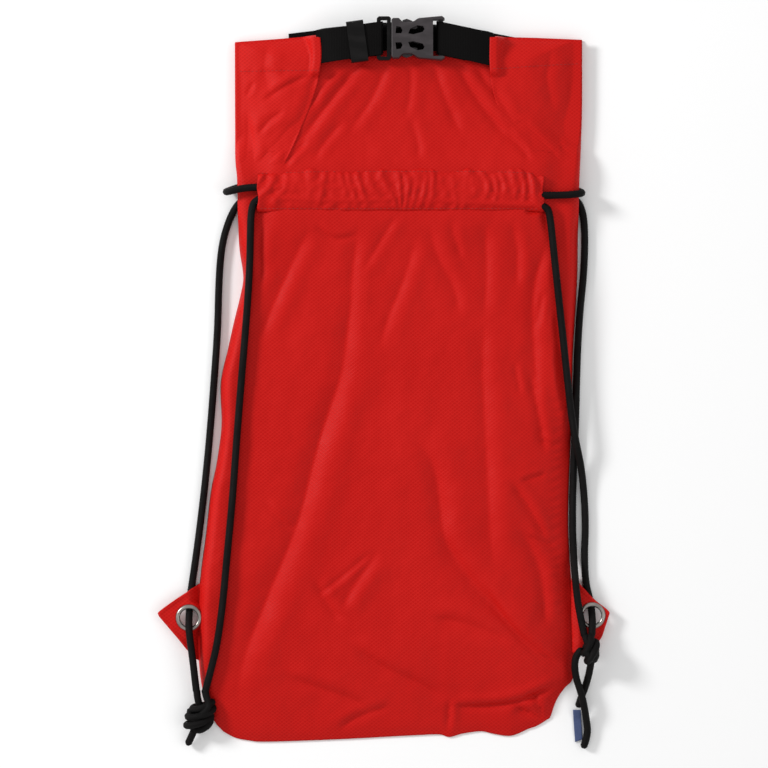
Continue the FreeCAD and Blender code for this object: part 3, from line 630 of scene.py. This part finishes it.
FLAP_ROWS, FLAP_COLUMNS = 90, 54
FLAP_FOOT = 158           # y of the flaps' lower ends
FLAP_LIFT = 1.9           # how far a flap stands off the neck under it
STRAP_COVER = 19.7        # height of a flap over the sewn end of a strap


def flap(name, outer_edge, free_edge, top_edge, folds, node, hem, lift_from):
    """A corner of the mouth folded forward: its outer and top edges are folds, its other edge is free."""
    side, free = resample(outer_edge, FLAP_ROWS), resample(free_edge, FLAP_ROWS)
    low = np.linspace(side[0], free[0], FLAP_COLUMNS)
    x, y = patch(side, free, low, resample(top_edge, FLAP_COLUMNS))
    inset = inside_edge(x, y)
    under = front_height(x, y, inset)
    plain = under - fold_height(x, y, FOLDS) * smooth_step(inset, 0, 16)
    lifted = smooth_step(y, *lift_from)
    ground = under + (plain - under) * lifted
    height = ground - 0.7 * (1 - smooth_step(y, FLAP_FOOT, 170)) + FLAP_LIFT * lifted
    height += fold_height(x, y, folds) * smooth_step(inset, 0, 12) * smooth_step(y, FLAP_FOOT, 172)
    hem_y = hem[0] + hem[1] * x
    height += 0.4 * smooth_step(y, hem_y - 0.9, hem_y + 1.1)
    height += 0.22 * np.sin(x / 1.9 + 1.5 * crumple(x, y, 16, 2.2)) * bell(y - hem_y, 3.2)
    height = np.where(y > 172, np.maximum(height, ground + 0.15), height)
    near_free = 1 - smooth_step(np.abs(x - free[:, :1]), 5, 14)
    over_strap = near_free * smooth_step(y, 221, 234) * (1 - smooth_step(y, 258, 262.5))
    height = np.maximum(height, STRAP_COVER - 12 * (1 - over_strap))
    points = columned(x, y, height)
    faces = grid_faces(FLAP_ROWS, FLAP_COLUMNS, flip=outer_edge[0][0] > free_edge[0][0])
    made = piece(name, points, faces, CLOTH, "roll_top", points[:, :2] * MM)
    thicken(made, 0.3)
    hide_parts(node)
    return made


LEFT_HEM, RIGHT_HEM = (233.7, 0.0), (228.6, 0.075)      # y of each hem's stitching at x = 0, and its slope
flap_left = flap(
    "flap_left_cloth", [(-110.3, 158), (-111.6, 180), (-112.2, 205), (-112.4, 256)],
    [(-77, 158), (-66, 182), (-56, 205), (-50.6, 222), (-47.6, 236), (-46.8, 248), (-48, 261.4)],
    [(-112.4, 256), (-70, 259.2), (-48, 261.4)], FLAP_LEFT_FOLDS, "flap_left", LEFT_HEM, (150, 205))
flap_right = flap(
    "flap_right_cloth", [(144.5, 158), (148.2, 180), (150.0, 205), (150.4, 257.8)],
    [(118, 158), (101, 184), (87, 206), (81.5, 224), (80, 240), (80.2, 259.8)],
    [(150.4, 257.8), (110, 259.4), (80.2, 259.8)], FLAP_RIGHT_FOLDS, "flap_right", RIGHT_HEM, (188, 226))

# ---- drawcord channels

CHANNEL_ROWS, CHANNEL_COLUMNS = 26, 240
CORD_COVER = CORD_RADIUS + 0.55      # from a cord's centre to the outside of the cloth over it
PUCKER_PITCH = 8.5


def channel_cloth(name, node, left, right, low_y, high_y, base, crest, gather, seed, cords):
    """A sleeve sewn to the bag along both long edges, gathered on its cords and open at both ends."""
    along = np.linspace(0, 1, CHANNEL_COLUMNS)[None, :]
    across = np.linspace(0, 1, CHANNEL_ROWS)[:, None]
    x = left + (right - left) * along + 0 * across
    bow = 1.6 * crumple(x, x * 0, 22, seed)
    end = bell(x - left, 16) + bell(right - x, 16)
    y = low_y + 0.3 * bow + across * (high_y - low_y + 1.1 * bow - 3.0 * end)
    x = x + 1.0 * crumple(x, y, 9, seed + 2) * np.sin(math.pi * across)
    arch = np.clip(np.sin(math.pi * across), 0, 1) ** 0.38
    bend = 4.0 * np.sin(math.pi * across) * np.sign((left + right) / 2 - x)
    pucker = np.sin(2 * math.pi * (x + bend) / PUCKER_PITCH + 5.0 * crumple(x, y, 24, seed + 4))
    strength = gather * (0.7 + 1.1 * end + 0.7 * crumple(x, y, 17, seed + 3))
    creases = 0.9 * crumple(x, y, 8, seed + 5) + 0.5 * crumple(x, y, 4, seed + 6)
    relief = strength * pucker + gather * creases
    height = base + (crest - base) * arch * (1 + 0.03 * bow) + relief * smooth_step(across, 0, 0.15)
    height = np.clip(height, min(base, crest) + 0.05, max(base, crest) + 1.2)
    facing = 1 if crest > base else -1
    for run in cords:
        route = resample(CORDS[run], 80)
        gap = np.abs(along_line(x, y, route[:, :2])[0])
        gap = np.where((x < left + 1.5) | (x > right - 1.5), 99.0, gap)
        over = route[0, 2] + facing * np.sqrt(np.clip(CORD_COVER ** 2 - gap ** 2, 0, None))
        tight = np.where(gap < CORD_COVER, over, height)
        height = np.maximum(height, tight) if facing > 0 else np.minimum(height, tight)
    points = columned(x, y, height)
    faces = grid_faces(CHANNEL_ROWS, CHANNEL_COLUMNS, flip=crest < base)
    made = piece(name, points, faces, CLOTH, "bag", points[:, :2] * MM)
    thicken(made, 0.35)
    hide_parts(node)
    return made


channel_front = channel_cloth(
    "front_channel_cloth", "front_cord_channel", -95, 121, 126.5, 159.5, SHELL_TOP + 0.6, CHANNEL_TOP - 0.1,
    0.62, 4.4, ["cord_left_in_front_channel", "cord_right_in_front_channel", "cord_left_inner_run",
               "cord_right_inner_run", "cord_left_side_loop", "cord_right_side_loop"])
channel_cloth("back_channel_cloth", "back_cord_channel", -104, 136, 131.5, 157.5, 7.7, 0.3, 0.4, 8.8,
              ["cord_left_in_back_channel", "cord_right_in_back_channel"])

# ---- corner tabs and their eyelets

TAB_LEFT = [(-136, -152), (-141.5, -155.8), (-155, -164.6), (-169.6, -175), (-170.6, -178), (-168.5, -181),
            (-157, -194.5), (-147, -206), (-138, -209)]
TAB_RIGHT = [(143.2, -207), (150, -205.6), (163.5, -197.5), (168, -187), (170.6, -179), (170.6, -175),
             (160, -166.4), (150.5, -156.6), (142.6, -151)]
EYELET_LEFT, EYELET_RIGHT = (-147.4, -180.1), (158.2, -178.4)
EYELET_BORE, EYELET_RIM = 6.8, 10.2
TAB_HEIGHT, TAB_SPACING = 7.3, 1.3
HOLE_POINTS, EYELET_TURNS = 40, 72


def inside(point, polygon):
    hit = False
    for (ax, ay), (bx, by) in zip(polygon, polygon[1:] + polygon[:1]):
        if (ay > point[1]) != (by > point[1]) and point[0] < (bx - ax) * (point[1] - ay) / (by - ay) + ax:
            hit = not hit
    return hit


def tab_cloth(name, node, shape, eyelet, seed):
    """A doubled triangle of cloth, with a turned edge and the dent of a row of stitches inside it."""
    ring = resample(shape + shape[:1], 90)[:-1]
    circle = [(eyelet[0] + (EYELET_BORE + 1) * math.cos(a), eyelet[1] + (EYELET_BORE + 1) * math.sin(a))
              for a in np.linspace(0, 2 * math.pi, HOLE_POINTS, endpoint=False)]
    polygon = [tuple(p) for p in ring]
    spots = [(x, y) for x in np.arange(ring[:, 0].min(), ring[:, 0].max(), TAB_SPACING)
             for y in np.arange(ring[:, 1].min(), ring[:, 1].max(), TAB_SPACING)
             if inside((x, y), polygon) and math.dist((x, y), eyelet) > EYELET_BORE + 2]
    spots = [p for p in spots if min(math.dist(p, q) for q in polygon) > 0.7]
    sides = len(polygon)
    loops = [(k, (k + 1) % sides) for k in range(sides)]
    loops += [(sides + k, sides + (k + 1) % HOLE_POINTS) for k in range(HOLE_POINTS)]
    points, _, faces, *_ = geometry.delaunay_2d_cdt(
        [Vector(p) for p in polygon + circle + spots], loops, [], 0, 0.001)
    middle = [sum((points[k] for k in face), Vector((0, 0))) / 3 for face in faces]
    faces = [face for face, m in zip(faces, middle)
             if inside(m, polygon) and math.dist(m, eyelet) > EYELET_BORE + 0.9]
    x, y = np.array([p[0] for p in points]), np.array([p[1] for p in points])
    closed = np.vstack([ring, ring[:1]])
    edge = np.abs(along_line(x, y, closed)[0])
    reach = np.hypot(x - eyelet[0], y - eyelet[1])
    height = TAB_HEIGHT + 0.35 * (1 - smooth_step(edge, 0, 3.2)) - 0.35 * bell(edge - 3.6, 0.8)
    height += (0.9 * crumple(x, y, 17, seed) + 0.3 * crumple(x, y, 6, seed + 2)) * smooth_step(reach, 11, 17)
    height -= 5.6 * (1 - smooth_step(np.abs(x), 139.5, 148.5)) * smooth_step(reach, 10.2, 13)
    points = columned(x, y, height)
    made = piece(name, points, [tuple(f) for f in faces], CLOTH, "bag", points[:, :2] * MM)
    thicken(made, 0.7)
    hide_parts(node)


def eyelet_ring(name, nodes, centre):
    """A rolled metal ring through the tab, with its washer behind."""
    bore, rim, turns = EYELET_BORE, EYELET_RIM, EYELET_TURNS
    profile = [(bore, 6.2), (bore - 0.1, 7.4), (bore + 0.35, 8.4), (bore + 1.2, 8.9), (bore + 2.2, 8.8),
               (rim - 0.4, 8.1), (rim, 7.5), (rim - 0.2, 7.3), (rim - 0.2, 6.6), (rim, 6.3),
               (rim - 0.6, 6.0), (bore + 0.5, 6.0)]
    points = [(centre[0] + r * math.cos(a), centre[1] + r * math.sin(a), z)
              for a in np.linspace(0, 2 * math.pi, turns, endpoint=False) for r, z in profile]
    count = len(profile)
    faces = []
    for t in range(turns):
        this, after = t * count, (t + 1) % turns * count
        for k in range(count):
            beside = (k + 1) % count
            faces.append((after + k, after + beside, this + beside, this + k))
    made = piece(name, points, faces, NICKEL, "bag")
    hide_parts(*nodes)


tab_cloth("tab_left_cloth", "tab_left", TAB_LEFT, EYELET_LEFT, 2.5)
tab_cloth("tab_right_cloth", "tab_right", TAB_RIGHT, EYELET_RIGHT, 6.5)
eyelet_ring("eyelet_left_ring", ("eyelet_left", "washer_left"), EYELET_LEFT)
eyelet_ring("eyelet_right_ring", ("eyelet_right", "washer_right"), EYELET_RIGHT)

# ---- cords

STRANDS = 8              # plaits each way round the cord
BRAID_PITCH = 13.0       # length of one turn of a plait
PLAIT_RELIEF = 0.07      # of the cord's radius
CORD_STEP, CORD_SIDES = 0.9, 24
KNOT_STEP, KNOT_SIDES = 0.8, 20


def nurbs_line(name, points):
    """Points along a NURBS curve through the route, read from Blender's own spline."""
    curve = bpy.data.curves.new(name + "_line", "CURVE")
    curve.dimensions = "3D"
    spline = curve.splines.new("NURBS")
    spline.points.add(len(points) - 1)
    for knot, point in zip(spline.points, points):
        knot.co = (*[c * MM for c in point], 1)
    spline.order_u = 3
    spline.use_endpoint_u = True
    spline.resolution_u = 24
    holder = bpy.data.objects.new(name + "_line", curve)
    show(holder)
    bpy.context.view_layer.update()
    line = bpy.data.meshes.new_from_object(holder)
    found = np.array([v.co for v in line.vertices]) / MM
    bpy.data.objects.remove(holder)
    bpy.data.curves.remove(curve)
    bpy.data.meshes.remove(line)
    return found


def braided_tube(line, step, sides):
    """Points, faces and uv of a closed braided tube along a line, and the line with a point every step."""
    length = distances(line)[-1]
    path = spaced(line, max(6, round(length / step)))
    tangent = np.gradient(path, axis=0)
    tangent /= np.linalg.norm(tangent, axis=1)[:, None]
    up = Vector((0, 0, 1)) if abs(tangent[0][2]) < 0.9 else Vector((0, 1, 0))
    normal = Vector(tangent[0]).cross(up).normalized()
    points, uv = [], []
    for k, (centre, direction) in enumerate(zip(path, tangent)):
        direction = Vector(direction)
        normal = (normal - direction * normal.dot(direction)).normalized()
        binormal = direction.cross(normal)
        s = length * k / (len(path) - 1)
        close = min(1.0, 0.45 + s / CORD_RADIUS, 0.45 + (length - s) / CORD_RADIUS)
        for j in range(sides):
            angle = 2 * math.pi * j / sides
            turn = 2 * math.pi * s / BRAID_PITCH
            plait = math.cos(STRANDS / 2 * (angle + turn)) * math.cos(STRANDS / 2 * (angle - turn))
            r = CORD_RADIUS * close * (0.96 + PLAIT_RELIEF * plait)
            points.append(Vector(centre) + (normal * math.cos(angle) + binormal * math.sin(angle)) * r)
            uv.append((angle * CORD_RADIUS * MM, s * MM))
    rings = len(path)
    faces = grid_faces(rings, sides, wrap=True)
    faces += [tuple(range(sides))[::-1], tuple((rings - 1) * sides + j for j in range(sides))]
    return np.array(points), faces, np.array(uv), path


cord_pieces = {}
for node, route in CORDS.items():
    points, faces, uv, path = braided_tube(nurbs_line(node, route), CORD_STEP, CORD_SIDES)
    cord = piece(node + "_braid", points, faces, BRAID, "bag", uv)
    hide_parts(node)
    cord_pieces[node] = (cord, path)

# Length of each run of cord, measured along its route, and what its far end meets.
CORD_RUNS = {
    "cord_left_inner_run": (386, "knot"), "cord_left_outer_run": (393, "knot"),
    "cord_right_inner_run": (341, "knot"), "cord_right_outer_run": (354, "knot"),
    "cord_left_side_loop": (69, "object"), "cord_right_side_loop": (64, "object"),
    "cord_left_in_front_channel": (202, "object"), "cord_right_in_front_channel": (202, "object"),
    "cord_left_in_back_channel": (226, "object"), "cord_right_in_back_channel": (226, "object"),
    "cord_right_tail_front": (81, "bare"), "cord_right_tail_back": (43, "fitting"),
}

# ---- knots


def knot(name, node, centre, radii, slant, wraps, lean, strands):
    """Turns of cord drawn tight round the standing parts, with strands that lead in, cross and lead out."""
    width, length, height = (r - CORD_RADIUS for r in radii)
    turn = math.radians(slant)
    steps = 10
    coil = []
    for k in range(wraps * steps + 1):
        share = k / (wraps * steps)
        angle = 2 * math.pi * k / steps
        bulge = 0.78 + 0.34 * math.sin(math.pi * share)
        x = width * bulge * math.cos(angle)
        y = length * (1 - 2 * share) * 0.74 + lean * math.cos(angle + 0.5)
        coil.append((centre[0] + x * math.cos(turn) - y * math.sin(turn),
                     centre[1] + x * math.sin(turn) + y * math.cos(turn),
                     centre[2] + height * bulge * math.sin(angle)))
    points, faces, uv = [], [], []
    for route in [coil, *strands]:
        tube = braided_tube(nurbs_line(name, route), KNOT_STEP, KNOT_SIDES)
        faces += [tuple(len(points) + k for k in face) for face in tube[1]]
        points += list(tube[0])
        uv += list(tube[2])
    made = piece(name, points, faces, BRAID, "bag", uv)
    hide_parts(node)


knot("knot_left_turns", "knot_left", (-139, -253.5, 8.4), (10.4, 16.0, 7.6), -20, 3, 5.0, [
    [(-135.4, -233, 12.2), (-134, -240, 12.4), (-131.5, -246, 12.6), (-136, -252, 13.0), (-143, -257, 12.8),
     (-147.5, -255, 9.5), (-146, -249, 6)],
    [(-141.4, -233.5, 10.6), (-141, -241, 10), (-138, -250, 7), (-139, -259, 7), (-142.5, -264.5, 7),
     (-143.4, -266, 6.8)],
    [(-131, -252, 8), (-130, -258, 9.5), (-135, -263.5, 10.5), (-142, -266, 8), (-146, -262, 6)],
])
knot("knot_right_turns", "knot_right", (156.4, -204, 15), (8.6, 11.5, 7.2), 24, 2, 4.0, [
    [(157.4, -191.5, 12.8), (156, -198, 15.5), (153, -205, 18.6), (157, -211, 18), (161.5, -209, 14),
     (160, -204, 11)],
    [(152.2, -192.5, 12.4), (154, -199, 15.5), (158.5, -205, 18.8), (160, -212, 15), (157.8, -211.5, 12.6)],
    [(157, -201, 12), (153, -201.5, 12.4), (150.8, -202.6, 13.1)],
])

# ---- woven label

LABEL_OUTLINE = [(143.8, -250.4), (149.8, -250.4), (151.2, -273), (145.6, -275)]


def label_piece():
    """A folded label crimped on the end of the cord; it lies on the floor."""
    rows, columns = 30, 10
    a, b, c, d = LABEL_OUTLINE
    x, y = patch(np.linspace(a, d, rows), np.linspace(b, c, rows),
                 np.linspace(a, b, columns), np.linspace(d, c, columns))
    down = np.linspace(0, 1, rows)[:, None]
    curl = 0.5 * np.sin(math.pi * down) + 0.3 * crumple(x, y, 8, 1.3)
    z = 1.1 + np.abs(curl) + 2.2 * (1 - smooth_step(down, 0, 0.35))
    points = columned(x, y, z)
    faces = grid_faces(rows, columns, flip=True)
    made = piece("cord_label", points, faces, LABEL, "bag", points[:, :2] * MM)
    thicken(made, 0.8)
    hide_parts("cord_end_tag")
    return made


label = label_piece()

for node, (length, far_end) in CORD_RUNS.items():
    cord, path = cord_pieces[node]

# ---- buckle and webbing

WEBBING_WIDTH, WEBBING_THICKNESS = 25.0, 1.3
TAPE_ROWS, TAPE_COLUMNS = 110, 21
BUCKLE_MIDDLE = 257.5
UPPER_RUN, LOWER_RUN = 21.95, 18.05      # z of the middle of a strap's two layers at the buckle


def tape(name, node, line, pivot_x, slope):
    """Webbing along a line of (x, z), which slopes away in plan from the bar that it turns round."""
    line = resample(line, TAPE_ROWS)
    along = distances(line)
    across = np.linspace(-WEBBING_WIDTH / 2, WEBBING_WIDTH / 2, TAPE_COLUMNS)
    points, uv = [], []
    for (x, z), s in zip(line, along):
        for w in across:
            curl = 0.25 * (w / WEBBING_WIDTH) ** 2 + 0.12 * math.sin(s / 7 + w / 9)
            points.append((x, BUCKLE_MIDDLE + (x - pivot_x) * math.tan(math.radians(slope)) + w, z - curl))
            uv.append((w * MM, s * MM))
    made = piece(name, points, grid_faces(len(line), len(across)), WEBBING, None, uv)
    thicken(made, WEBBING_THICKNESS, offset=0.0)
    round_edges(made, 0.35, 2, 60)
    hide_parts(node)
    return made


# The band's upper and lower edges, then its section: share of the way up, and z.
MOUTH_BAND_TOP = [(-72, 262.8), (-33, 267.5), (5, 270.6), (47.5, 268.3), (75, 264.6), (104.5, 259.2)]
MOUTH_BAND_LOW = [(-72, 243), (-33, 246), (5, 249), (47.5, 248), (75, 243), (104.5, 240)]
MOUTH_BAND_SECTION = [
    (0.0, 14.3), (0.25, 14.35), (0.5, 14.3), (0.7, 14.1), (0.86, 13.3), (0.95, 11.6), (0.99, 9.0),
    (1.0, 6.5), (0.99, 4.0), (0.95, 2.0), (0.88, 1.2), (0.6, 1.0)]


def mouth_band():
    """Stiff webbing bound over the mouth's edge: down the front, round the edge and a little way behind."""
    columns = 120
    top, low = resample(MOUTH_BAND_TOP, columns), resample(MOUTH_BAND_LOW, columns)
    points, uv = [], []
    for share, z in MOUTH_BAND_SECTION:
        for a, b in zip(low, top):
            x, y = a + (b - a) * share
            tucked = smooth_step(-x, 42, 50) + smooth_step(x, 75, 83)
            points.append((x, y, min(z, 14.4 - 11.6 * tucked)))
            uv.append(((z + 30 * share) * MM, x * MM))
    faces = grid_faces(len(MOUTH_BAND_SECTION), columns)
    made = piece("mouth_band", points, faces, WEBBING, "roll_top", uv)
    thicken(made, 0.9, offset=0.0)
    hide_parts("mouth_stiffener")


mouth_band()
strap_left = tape("strap_left_tape", "strap_left", [
    (-51, 17.9), (-46.5, 18.7), (-40, 20.6), (-34, 21.7), (-28, UPPER_RUN), (-12, UPPER_RUN),
    (-2.8, UPPER_RUN), (-1.4, 21.4), (-1, 20), (-1.4, 18.6), (-2.8, LOWER_RUN), (-14, LOWER_RUN),
    (-25.6, LOWER_RUN)], -3.5, 8.0)
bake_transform(strap_left)
strap_right = tape("strap_right_tape", "strap_right", [
    (84, 17.9), (79.5, 18.7), (73, 20.6), (67, 21.7), (60, UPPER_RUN), (50, UPPER_RUN),
    (42.4, UPPER_RUN), (40.9, 21.4), (40.5, 20), (40.9, 18.6), (42.4, LOWER_RUN), (52, LOWER_RUN),
    (62, LOWER_RUN)], 43.25, -12.0)
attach(strap_right, "roll_top")

for node, material, radius in (
        ("buckle_socket", SOCKET_PLASTIC, 0.7), ("buckle_insert", INSERT_PLASTIC, 0.6),
        ("prong_upper", SOCKET_PLASTIC, 0.5), ("prong_lower", SOCKET_PLASTIC, 0.5),
        ("strap_keeper", INSERT_PLASTIC, 0.35)):
    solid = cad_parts[node]
    solid.data.materials.clear()
    solid.data.materials.append(material)
    round_edges(solid, radius, 3, 35)

# ---- stitching

STITCH_LENGTH, STITCH_GAP, THREAD_RADIUS = 2.1, 0.9, 0.17
STITCH_SHARES, THREAD_SIDES = (0, 0.2, 0.5, 0.8, 1), 6


def stitches(name, target, body, lines):
    """Rows of lockstitch laid on a piece of cloth; each stitch is a short arched thread."""
    tree = BVHTree.FromObject(target, bpy.context.evaluated_depsgraph_get())
    points, faces = [], []
    for line in lines:
        path = resample(line, 400)
        along = distances(path)
        start = 0.0
        while start + STITCH_LENGTH < along[-1]:
            ring_centres = []
            for share in STITCH_SHARES:
                s = start + share * STITCH_LENGTH
                x, y = np.interp(s, along, path[:, 0]), np.interp(s, along, path[:, 1])
                hit = tree.ray_cast(Vector((x, y, 120)) * MM, Vector((0, 0, -1)))[0]
                if hit is None:
                    break
                sunk = 0.13 * (2 * share - 1) ** 2
                ring_centres.append((x, y, hit.z / MM + (0.1 - sunk), share))
            start += STITCH_LENGTH + STITCH_GAP
            if len(ring_centres) < len(STITCH_SHARES):
                continue
            ahead = Vector(ring_centres[-1][:2]) - Vector(ring_centres[0][:2])
            beside = Vector((-ahead.y, ahead.x)).normalized()
            first = len(points)
            for x, y, z, share in ring_centres:
                radius = THREAD_RADIUS * (0.5 + 0.5 * math.sin(math.pi * (0.15 + 0.7 * share)))
                for k in range(THREAD_SIDES):
                    a = 2 * math.pi * k / THREAD_SIDES
                    points.append((x + beside.x * radius * math.cos(a), y + beside.y * radius * math.cos(a),
                                   z + radius * math.sin(a)))
            faces += grid_faces(len(STITCH_SHARES), THREAD_SIDES, first, wrap=True)
            faces.append(tuple(range(first, first + THREAD_SIDES))[::-1])
            faces.append(tuple(range(len(points) - THREAD_SIDES, len(points))))
    piece(name, points, faces, RED_THREAD, body)


stitches("stitches_flap_left", flap_left, "roll_top", [[(-109, 233.7), (-80, 233.7), (-49.5, 233.7)]])
stitches("stitches_flap_right", flap_right, "roll_top", [[(82.5, 234.8), (116, 237.3), (148.5, 239.7)]])
stitches("stitches_front_channel", channel_front, "bag", [
    [(-93, 129.4), (-40, 129.2), (20, 129.3), (80, 129.4), (119, 129.0)],
    [(-92, 156.0), (-40, 157.2), (20, 157.3), (80, 157.2), (117, 155.6)]])

# ---- floor and light

floor_mesh = bpy.data.meshes.new("floor")
FLOOR_REACH = 6.0         # metres each way
corners = [(x * FLOOR_REACH, y * FLOOR_REACH, 0) for x, y in ((-1, -1), (1, -1), (1, 1), (-1, 1))]
floor_mesh.from_pydata(corners, [], [(0, 1, 2, 3)])
paper = Shader("floor_white", (0.96, 0.96, 0.96), 0.9, Specular_IOR_Level=0.2)
floor_mesh.materials.append(paper.material)
floor = bpy.data.objects.new("floor", floor_mesh)
show(floor)


def softbox(name, place, size, power):
    """A round soft lamp aimed at the bag; its place and size are in metres."""
    lamp = bpy.data.lights.new(name, "AREA")
    lamp.shape = "DISK"
    lamp.size = size
    lamp.energy = power
    made = bpy.data.objects.new(name, lamp)
    made.location = place
    made.rotation_euler = (-Vector(place)).to_track_quat("-Z", "Y").to_euler()
    show(made)


softbox("key", (-2.0, 1.0, 1.25), 0.6, 48)
softbox("fill", (1.8, -0.6, 1.9), 1.6, 7)
world = bpy.data.worlds.new("studio")
world.use_nodes = True
background = world.node_tree.nodes["Background"]
background.inputs["Color"].default_value = (1, 1, 1, 1)
background.inputs["Strength"].default_value = 0.66
bpy.context.scene.world = world
bpy.context.scene.view_settings.view_transform = "Standard"

bpy.context.view_layer.update()
